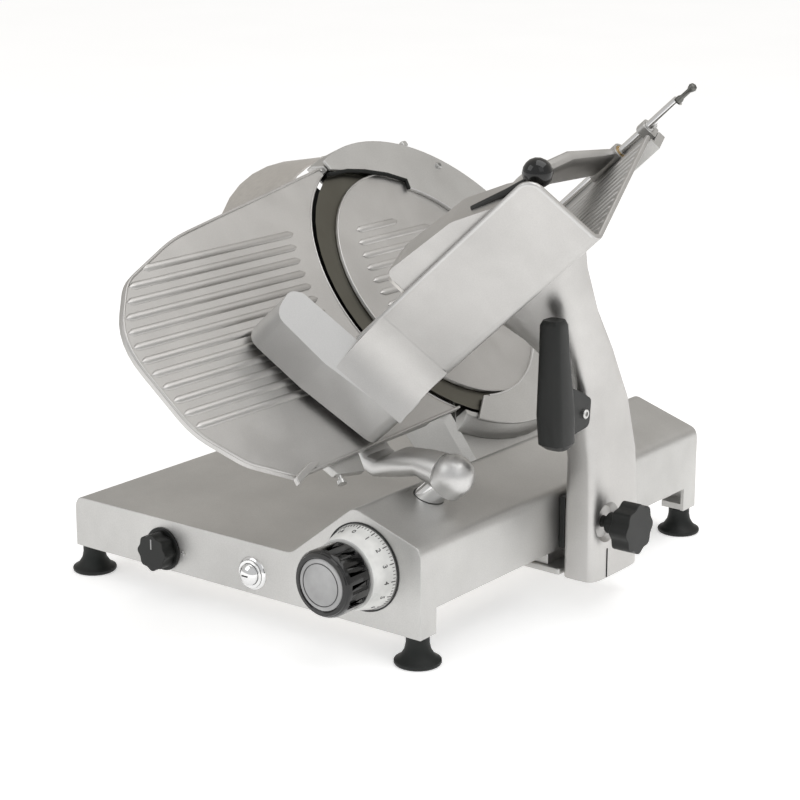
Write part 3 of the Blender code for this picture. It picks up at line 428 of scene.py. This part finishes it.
def bead(name, points, radius, place, body, slot, look=None, cyclic=False):
    """A round bead along a path, as a mesh."""
    curve = bpy.data.curves.new(name + "_path", "CURVE")
    curve.dimensions = "3D"
    curve.bevel_depth = radius
    curve.bevel_resolution = 2
    curve.use_fill_caps = True
    spline = curve.splines.new("POLY")
    spline.points.add(len(points) - 1)
    for target, point in zip(spline.points, points):
        target.co = (*point, 1.0)
    spline.use_cyclic_u = cyclic
    source = bpy.data.objects.new(name + "_path", curve)
    bpy.context.scene.collection.objects.link(source)
    mesh = baked_mesh(source)
    bm = bmesh.new()
    bm.from_mesh(mesh)
    bmesh.ops.remove_doubles(bm, verts=bm.verts, dist=0.000005)
    bpy.data.objects.remove(source)
    bpy.data.meshes.remove(mesh)
    return finished(name, bm, place, body, slot, look, 0.0, 60.0)


def arc(radius, first, last, steps, centre=(0.0, 0.0)):
    points = []
    for k in range(steps + 1):
        turn = math.radians(first + (last - first) * k / steps)
        points.append((centre[0] + radius * math.cos(turn), centre[1] + radius * math.sin(turn)))
    return points


def screw_head(name, centre, normal, radius, place, body, slot="machined_steel"):
    """A cap screw's head with a socket."""
    height = radius * 0.7
    profile = [(0.0, height * 0.35), (radius * 0.48, height * 0.35), (radius * 0.50, height),
               (radius * 0.88, height), (radius, height * 0.80), (radius, 0.0), (0.0, 0.0)]
    return turned(name, profile, centre, normal, place, body, slot, None, 24)


# ---------------------------------------------------------------- the CAD nodes' finish

EDGE_WIDTH = {
    "gauge_plate": 0.0016, "thumb_guard": 0.0055, "trough": 0.0012, "pusher": 0.0022,
    "ring_guard": 0.0015, "blade_cover": 0.0006, "base_housing": 0.0012, "slice_deflector": 0.0006,
    "gauge_bracket": 0.0015, "gauge_arm": 0.0040, "carriage_arm": 0.0030, "carriage_handle": 0.0016,
    "carriage_lock_knob": 0.0012, "switch_knob": 0.0010, "thickness_knob": 0.0007, "knob_cap": 0.0004,
    "index_dial": 0.0006, "trough_rail": 0.0010, "rod_clamp_lower": 0.0008, "rod_clamp_upper": 0.0008,
    "carriage_foot": 0.0012, "trolley": 0.0010, "gap_shield": 0.0008, "belt_housing": 0.0020,
    "blade_housing": 0.0018, "switch_bezel": 0.0006, "button_bezel": 0.0008, "cover_knob": 0.0020,
    "foot_front_left": 0.0008, "foot_front_right": 0.0008, "foot_rear_left": 0.0008,
    "foot_rear_right": 0.0008, "power_inlet": 0.0006,
}


def finish_nodes():
    """Give every CAD node its look and soft edges. Its own mesh stays as it is."""
    slots = {part["node"]: part["material_slot"] for part in frame["record"]["subparts"]}
    for name, node in frame["nodes"].items():
        node.data.materials.clear()
        node.data.materials.append(LOOKS[slots[name]])
        if "custom_normal" in node.data.attributes:
            node.data.attributes.remove(node.data.attributes["custom_normal"])
        node.data.shade_smooth()
        weld = node.modifiers.new("Weld", "WELD")
        weld.merge_threshold = 0.00001
        flat = node.modifiers.new("Flat faces", "DECIMATE")
        flat.decimate_type = "DISSOLVE"
        flat.angle_limit = math.radians(0.4)
        if name in EDGE_WIDTH:
            soften(node, EDGE_WIDTH[name], 2)
        else:
            split = node.modifiers.new("Sharp edges", "EDGE_SPLIT")
            split.split_angle = math.radians(35.0)


# ---------------------------------------------------------------- gauge plate

def plate_points():
    """The gauge plate's corners as (b, c) in the head frame."""
    back = HEAD.inverted()
    places = [back @ v.co for v in frame["nodes"]["gauge_plate"].data.vertices]
    return {(round(v.y, 5), round(v.z, 5)) for v in places}


def plate_reach(c):
    """Where the gauge plate's left edge lies at a height c, in head coordinates."""
    edge = sorted((point for point in plate_points() if point[0] < -0.20), key=lambda point: point[1])
    below = max((point for point in edge if point[1] <= c), key=lambda point: point[1])
    above = min((point for point in edge if point[1] > c), key=lambda point: point[1])
    share = (c - below[1]) / (above[1] - below[1])
    return below[0] + (above[0] - below[0]) * share


def plate_rim():
    """The gauge plate's outer edge in order, from its top tip round to its bottom corner."""
    rim = [point for point in plate_points() if math.hypot(*point) > 0.1795]
    return sorted(rim, key=lambda point: math.atan2(point[1], -0.30 - point[0]), reverse=True)


def make_gauge_details():
    ribs, top, clear_r = 12, 0.0990, 0.2065
    width, height = 0.0088, 0.0022
    bm = bmesh.new()
    for k in range(ribs):
        c = top - k * RIB_PITCH
        left = plate_reach(c) + 0.006
        right = -math.sqrt(clear_r ** 2 - c * c)
        add_rib(bm, (PLATE_FACE, left, c), (PLATE_FACE, right, c), width, height, (1, 0, 0), (0, 0, 1))
    finished("gauge_plate_ribs", bm, HEAD, "gauge", "anodised_aluminium", None, 0.0, 60.0)
    rim = [(PLATE_FACE + 0.0004, b * 0.996, c * 0.99) for b, c in plate_rim()]
    bead("gauge_plate_rim", rim, 0.0016, HEAD, "gauge", "anodised_aluminium")
    inner = [(PLATE_FACE + 0.0002, b, c) for b, c in arc(PLATE_INNER_R, 118.5, 232.5, 40)]
    bead("gauge_plate_inner_rim", inner, 0.0010, HEAD, "gauge", "anodised_aluminium")
    lip = [(-0.3890, -0.1640), (-0.3470, -0.1510), (-0.3470, -0.1480), (-0.3600, -0.1470),
           (-0.3880, -0.1560)]
    plate("gauge_stop_lip", lip, PLATE_FACE - 0.0004, PLATE_FACE + 0.0055, HEAD, "gauge",
          "anodised_aluminium", None, 0.0010)
    tab = [(-0.3300, -0.1500), (-0.2760, -0.1500), (-0.2830, -0.1720), (-0.3220, -0.1650)]
    plate("gauge_bracket_tab", tab, -0.0160, -0.0073, HEAD, "gauge", "cast_aluminium", None, 0.0014)
    turned("gauge_stop_screw", [(0.0, 0.0), (0.0024, 0.0), (0.0024, 0.0070), (0.0048, 0.0070),
                                (0.0048, 0.0110), (0.0, 0.0115)],
           (-0.0117, -0.3150, -0.1650), (0, -0.35, -1), HEAD, "gauge", "machined_steel", None, 24)
    screw_head("gauge_bracket_screw", (-0.0163, -0.2750, -0.1330), (-1, 0, 0), 0.0050, HEAD, "gauge")


# ---------------------------------------------------------------- blade, cover and guard

def make_cover_ribs():
    ribs, top, inset = 9, 0.0842, 0.034
    width, height = 0.0085, 0.0018
    bm = bmesh.new()
    for k in range(ribs):
        c = top - k * RIB_PITCH
        left = inset - math.sqrt(COVER_R ** 2 - c * c)
        right = min(0.062, -0.015 + (top - c) * 3)
        add_rib(bm, (COVER_FACE, left, c), (COVER_FACE, right, c), width, height, (1, 0, 0), (0, 0, 1))
    finished("blade_cover_ribs", bm, HEAD, "base", "anodised_aluminium", None, 0.0, 60.0)
    rim = [(COVER_FACE - 0.0004, b, c) for b, c in arc(COVER_R - 0.0012, 0.0, 355.0, 71)]
    bead("blade_cover_rim", rim, 0.0012, HEAD, "base", "anodised_aluminium", None, True)


def guard_inner():
    """Inner edge of the guard's front ring, which is set off the blade's centre."""
    low_end = arc(0.1405, -103.0, 63.0, 40, (-0.030, -0.006))
    window = [(0.0380, 0.1290), (0.0120, 0.1420), (-0.0200, 0.1520), (-0.0480, 0.1570),
              (-0.0700, 0.1620)]
    return low_end + window


def make_guard_details():
    outer = arc(0.1895, 112.5, -119.0, 60)
    ring = guard_inner() + outer
    plate("guard_front_ring", ring, 0.0006, GUARD_FACE, HEAD, "base", "cast_aluminium", None, 0.0012)
    # A dark bead of painted shade along the slot in the guard's front ring, where the gap's shadow
    # falls.
    slot = [(-0.0810, 0.1560), (-0.0476, 0.1560), (-0.0200, 0.1510), (0.0120, 0.1412),
            (0.0370, 0.1290), (0.0330, 0.1180)]
    slot = [(0.0048, b, c) for b, c in slot]
    bead("sharpening_slot_shadow", slot, 0.0024, HEAD, "base", "black_plastic", "shadow_gap")
    # A dark sheet of painted shade behind the blade's left side, seen through the gap between the blade
    # and the gauge plate.
    back_shadow = arc(0.1860, 115.0, 210.0, 48) + arc(0.1340, 210.0, 115.0, 48)
    plate("blade_back_shadow", back_shadow, -0.0270, -0.0230, HEAD, "base", "cast_aluminium", "shadow_gap",
          0.0008)
    edge = [(GUARD_FACE, b, c) for b, c in arc(0.1415, -100.0, 62.0, 48, (-0.030, -0.006))]
    bead("guard_inner_rim", edge, 0.0012, HEAD, "base", "polished_aluminium")
    block("guard_pin", (-0.0110, 0.0840, 0.1770), (-0.0030, 0.0930, 0.1840), HEAD, "base",
          "cast_aluminium", None, 0.0015)
    for k, turn in enumerate((52.0, 14.0, -38.0)):
        b, c = arc(0.1760, turn, turn, 1)[0]
        screw_head(f"guard_screw_{k}", (GUARD_FACE, b, c), (1, 0, 0), 0.0042, HEAD, "base")


# ---------------------------------------------------------------- trough and hood

def make_trough_details():
    bm = bmesh.new()
    ribs, first, pitch = 13, 0.0250, 0.0142
    for k in range(ribs):
        p = first + k * pitch
        add_rib(bm, (0.022, p, SHEET), (TROUGH_HIGH - 0.004, p, SHEET), 0.0050, 0.0014, (0, 0, 1),
                (0, 1, 0))
    finished("trough_floor_ribs", bm, TROUGH, "carriage", "anodised_aluminium", None, 0.0, 60.0)
    edge = TROUGH_HIGH - RIM_R
    corner = arc(PANEL_CORNER_R, 90.0, 0.0, 8, (PANEL_Q - PANEL_CORNER_R, edge - PANEL_CORNER_R))
    bend = [(edge, FLOOR_P, SHEET / 2), (edge, 0.0100, SHEET / 2), (edge, 0.0062, 0.0036),
            (edge, 0.0036, 0.0062), (edge, SHEET / 2, 0.0100)]
    rim = bend + [(a, SHEET / 2, q) for q, a in corner]
    rim.append((HOOD_TOP, SHEET / 2, PANEL_Q))
    bead("trough_rim", rim, RIM_R, TROUGH, "carriage", "polished_aluminium")
    foot, crease, top = Vector((0.0523, -0.0305)), Vector((HOOD_TOP, 0.0)), Vector((0.1150, -0.0001))
    blend = [crease]
    steps = 16
    for k in range(steps + 1):
        t = k / steps
        blend.append((1 - t) ** 2 * foot + 2 * t * (1 - t) * crease + t * t * top)
    bm = bmesh.new()
    prism(bm, blend, 0.0025, PANEL_Q, "Z")
    finished("trough_blend", bm, TROUGH, "carriage", "anodised_aluminium", None, 0.0, 30.0)


def make_pusher_details():
    block("pusher_step", (0.1500, 0.0095, 0.0200), (0.1700, 0.0520, 0.1150), TROUGH, "pusher",
          "anodised_aluminium", None, 0.0030)
    turned("pusher_ferrule",
           [(0.0, 0.0), (0.0062, 0.0), (0.0062, 0.0060), (0.0046, 0.0085), (0.0, 0.0085)],
           (0.2975, 0.0300, 0.0830), (1, 0, 0), TROUGH, "pusher", "black_plastic")
    lever = [(0.2620, 0.0240, 0.1000), (0.3000, 0.0290, 0.0880), (0.3230, 0.0300, 0.0825)]
    bead("pusher_lever", lever, 0.0040, TROUGH, "pusher", "black_plastic")
    screw_head("pusher_screw", (0.2810, 0.2000, 0.0330), (0, 0.2, 1), 0.0045, TROUGH, "pusher")


# ---------------------------------------------------------------- controls

def add_numeral(bm, digit, size, place):
    """A generic numeral, raised a little, at a place given as a matrix."""
    curve = bpy.data.curves.new("numeral", "FONT")
    curve.body = digit
    curve.size = size
    curve.extrude = 0.00012
    curve.align_x = "CENTER"
    curve.align_y = "CENTER"
    source = bpy.data.objects.new("numeral", curve)
    bpy.context.scene.collection.objects.link(source)
    mesh = baked_mesh(source)
    mesh.transform(place)
    bm.from_mesh(mesh)
    bpy.data.objects.remove(source)
    bpy.data.meshes.remove(mesh)


def make_dial_marks():
    """Numerals and ticks round the dial's sloping edge."""
    centre = Vector((KNOB_PLACE[0], FRONT_Y, KNOB_PLACE[2]))
    near, far = Vector((0.0, DIAL_NEAR_Y, 0.0)), Vector((0.0, DIAL_FAR_Y, 0.0))
    bm = bmesh.new()
    marks = 75
    sides = ((0, 1, 2, 3), (4, 5, 6, 7), (0, 1, 5, 4), (1, 2, 6, 5), (2, 3, 7, 6), (3, 0, 4, 7))
    for k in range(marks):
        turn = 2 * math.pi * k / marks
        radial = Vector((math.sin(turn), 0.0, math.cos(turn)))
        around = Vector((math.cos(turn), 0.0, -math.sin(turn)))
        long_mark = k % 5 == 0
        low = centre + radial * DIAL_FAR_R + far
        high = centre + radial * DIAL_NEAR_R + near
        start = low + (high - low) * 0.05
        end = low + (high - low) * (0.24 if long_mark else 0.15)
        slope = (high - low).normalized()
        normal = around.cross(slope).normalized()
        if normal.dot(radial) < 0:
            normal.negate()
        half = around * (0.00042 if long_mark else 0.00026)
        lift = normal * 0.00025
        corners = [bm.verts.new(p + o + lift * s) for s in (-1, 1) for p, o in
                   ((start, -half), (start, half), (end, half), (end, -half))]
        for face in sides:
            bm.faces.new([corners[i] for i in face])
        if long_mark:
            spot = low + (high - low) * 0.45 + normal * 0.0001
            turn_matrix = Matrix((around, -slope, normal)).transposed().to_4x4()
            add_numeral(bm, str(k // 5), 0.0078, Matrix.Translation(spot) @ turn_matrix)
    finished("dial_marks", bm, ROW, "index_knob", "black_plastic", "ink", 0.0, 30.0)


def make_control_details():
    make_dial_marks()
    x, _, z = KNOB_PLACE
    outline = [(0.0442, 0.0), (0.0442, 0.0009), (0.0458, 0.0009), (0.0458, 0.0)]
    turned("dial_outline", ring_profile(outline), (x, FRONT_Y, z), (0, -1, 0), ROW, "base",
           "black_plastic", "ink", 64)
    ring = [(0.0212, 0.0), (0.0212, 0.0004), (0.0219, 0.0004), (0.0219, 0.0)]
    turned("cap_ring", ring_profile(ring), (x, FRONT_Y - CAP_FRONT, z), (0, -1, 0), ROW,
           "index_knob", "black_plastic", "ink", 48)
    lip = [(0.0268, 0.0), (0.0268, 0.0012), (0.0280, 0.0019), (0.0312, 0.0014), (0.0322, -0.0004)]
    turned("knob_lip", ring_profile(lip), (x, FRONT_Y - KNOB_FRONT, z), (0, -1, 0), ROW,
           "index_knob", "gloss_black", None, 48)
    x, _, z = SWITCH_PLACE
    for side, offset in (("left", -0.0285), ("right", 0.0285)):
        screw_head(f"switch_screw_{side}", (x + offset, FRONT_Y, z), (0, -1, 0), 0.0030, ROW, "base")
    block("switch_pointer", (x - 0.0008, FRONT_Y - 0.0193, z + 0.0040),
          (x + 0.0008, FRONT_Y - 0.0186, z + 0.0150), ROW, "switch", "white_cap")
    button_low, button_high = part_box("start_button")
    x, z = (button_low[0] + button_high[0]) / 2, (button_low[2] + button_high[2]) / 2
    ring = [(0.0153, 0.0), (0.0153, 0.0026), (0.0172, 0.0016), (0.0180, 0.0)]
    turned("button_ring", ring_profile(ring), (x, FRONT_Y, z), (0, -1, 0), ROW, "base", "chrome",
           None, 40)
    block("button_mark", (x - 0.0038, button_low[1] - 0.0002, z - 0.0007),
          (x + 0.0038, button_low[1] + 0.0012, z + 0.0007), ROW, "button", "black_plastic", "ink")


# ---------------------------------------------------------------- base and carriage trim

def make_base_details():
    for k, x in enumerate((-0.24, -0.10, 0.05)):
        for m, y in enumerate((-0.155, 0.295)):
            screw_head(f"plate_screw_{k}_{m}", (x, y, 0.0303), (0, 0, -1), 0.0040, ROW, "base")
    # The rear vent's slots are low near-black strips of painted shade.
    bm = bmesh.new()
    for k in range(7):
        x = -0.060 + k * 0.012
        add_rib(bm, (x, BACK_Y, 0.050), (x, BACK_Y, 0.074), 0.0045, 0.0012, (0, 1, 0), (1, 0, 0))
    finished("rear_vent_shadow_strips", bm, ROW, "base", "black_plastic", "shadow_gap", 0.0, 60.0)


def make_arm_details():
    y, z = LOCK_PLACE[1], LOCK_PLACE[2]
    face = ARM_FACE_X - CENTRE_X
    # A thin dark strip of painted shade standing for the shadow inside the arm's slit.
    block("arm_slit_shadow", (face - 0.0020, y - 0.0008, 0.0325), (face + 0.0003, y + 0.0008, z - 0.0290), ROW,
          "carriage", "black_plastic", "shadow_gap")
    screw_head("handle_screw", (0.5240 - CENTRE_X, 0.2040 - CENTRE_Y, 0.2230), (1, 0, 0), 0.0050, ROW,
               "carriage")


def make_head_details():
    corners = ((-0.04784, 0.048), (0.04784, 0.048), (-0.04784, -0.120), (0.04784, -0.120))
    for k, (b, c) in enumerate(corners):
        screw_head(f"belt_cover_screw_{k}", (-0.1180, b, c), (-1, 0, 0), 0.0045, HEAD, "base")
    bm = bmesh.new()
    grips, grip_r = 10, 0.0168
    half_length = Vector((0.0075, 0, 0))
    for k in range(grips):
        turn = 2 * math.pi * k / grips
        spot = Vector((-0.1270, grip_r * math.cos(turn), grip_r * math.sin(turn)))
        radial = Vector((0, math.cos(turn), math.sin(turn)))
        around = Vector((0, -math.sin(turn), math.cos(turn)))
        add_rib(bm, spot - half_length, spot + half_length, 0.0040, 0.0016, radial, around)
    finished("cover_knob_grips", bm, HEAD, "cover_nut", "black_plastic", None, 0.0, 60.0)
    for k, b in enumerate((-0.012, 0.012)):
        screw_head(f"deflector_screw_{k}", (-0.0343, b, 0.104), (1, 0, 0), 0.0040, HEAD, "base")


# ---------------------------------------------------------------- studio

def make_studio():
    mesh = bpy.data.meshes.new("floor")
    bm = bmesh.new()
    bmesh.ops.create_grid(bm, x_segments=1, y_segments=1, size=14.0)
    bm.to_mesh(mesh)
    bm.free()
    floor = bpy.data.objects.new("floor", mesh)
    bpy.context.scene.collection.objects.link(floor)
    nodes = Nodes("look_floor")
    pale = nodes.ramp(nodes.noise(nodes.coordinates(), 2.0), (0.90, 0.90, 0.90), (0.92, 0.92, 0.92))
    nodes.link(pale, nodes.shader.inputs["Base Color"])
    nodes.shader.inputs["Roughness"].default_value = 0.9
    nodes.shader.inputs["Specular IOR Level"].default_value = 0.1
    nodes.shader.inputs["Emission Color"].default_value = (1.0, 1.0, 1.0, 1.0)
    nodes.shader.inputs["Emission Strength"].default_value = 0.46
    floor.data.materials.append(nodes.material)
    make_sky()
    softbox("key_light", (-1.6, -2.6, 2.6), 2.2, 16.0)
    softbox("fill_light", (2.8, -1.2, 2.4), 2.0, 5.0)
    softbox("top_light", (0.9, 0.4, 3.0), 2.6, 30.0)
    bpy.context.scene.view_settings.view_transform = "Standard"


def make_sky():
    """A plain room: bright in front, darker and warmer behind the machine."""
    world = bpy.data.worlds.new("studio")
    world.use_nodes = True
    tree = world.node_tree
    place = tree.nodes.new("ShaderNodeTexCoord")
    facing = tree.nodes.new("ShaderNodeVectorMath")
    facing.operation = "DOT_PRODUCT"
    facing.inputs[1].default_value = Vector((0.45, -0.85, -0.25)).normalized()
    tree.links.new(place.outputs["Generated"], facing.inputs[0])
    ramp = tree.nodes.new("ShaderNodeValToRGB")
    ramp.color_ramp.elements[0].position = 0.0
    ramp.color_ramp.elements[0].color = (0.66, 0.635, 0.60, 1.0)
    ramp.color_ramp.elements[1].position = 0.75
    ramp.color_ramp.elements[1].color = (0.74, 0.745, 0.75, 1.0)
    shift = tree.nodes.new("ShaderNodeMapRange")
    shift.inputs["From Min"].default_value = -0.9
    shift.inputs["From Max"].default_value = 0.9
    tree.links.new(facing.outputs["Value"], shift.inputs["Value"])
    tree.links.new(shift.outputs["Result"], ramp.inputs["Fac"])
    tree.links.new(ramp.outputs["Color"], tree.nodes["Background"].inputs["Color"])
    tree.nodes["Background"].inputs["Strength"].default_value = 0.80
    bpy.context.scene.world = world


def softbox(name, place, size, power):
    light = bpy.data.lights.new(name, "AREA")
    light.size = size
    light.energy = power
    lamp = bpy.data.objects.new(name, light)
    lamp.location = place
    lamp.rotation_euler = (Vector((0.0, 0.0, 0.2)) - Vector(place)).to_track_quat("-Z", "Y").to_euler()
    bpy.context.scene.collection.objects.link(lamp)


def make_camera():
    data = bpy.data.cameras.new("camera")
    data.sensor_width = 36.0
    data.lens = CAMERA_LENS
    camera = bpy.data.objects.new("camera", data)
    camera.location = (CAMERA_X - CENTRE_X, CAMERA_Y - CENTRE_Y, CAMERA_Z)
    camera.rotation_euler = Euler((math.pi / 2 - CAMERA_ELEVATION, 0.0, CAMERA_AZIMUTH), "XYZ")
    bpy.context.scene.collection.objects.link(camera)
    bpy.context.scene.camera = camera


make_camera()
finish_nodes()
make_gauge_details()
make_cover_ribs()
make_guard_details()
make_trough_details()
make_pusher_details()
make_control_details()
make_base_details()
make_arm_details()
make_head_details()
make_studio()
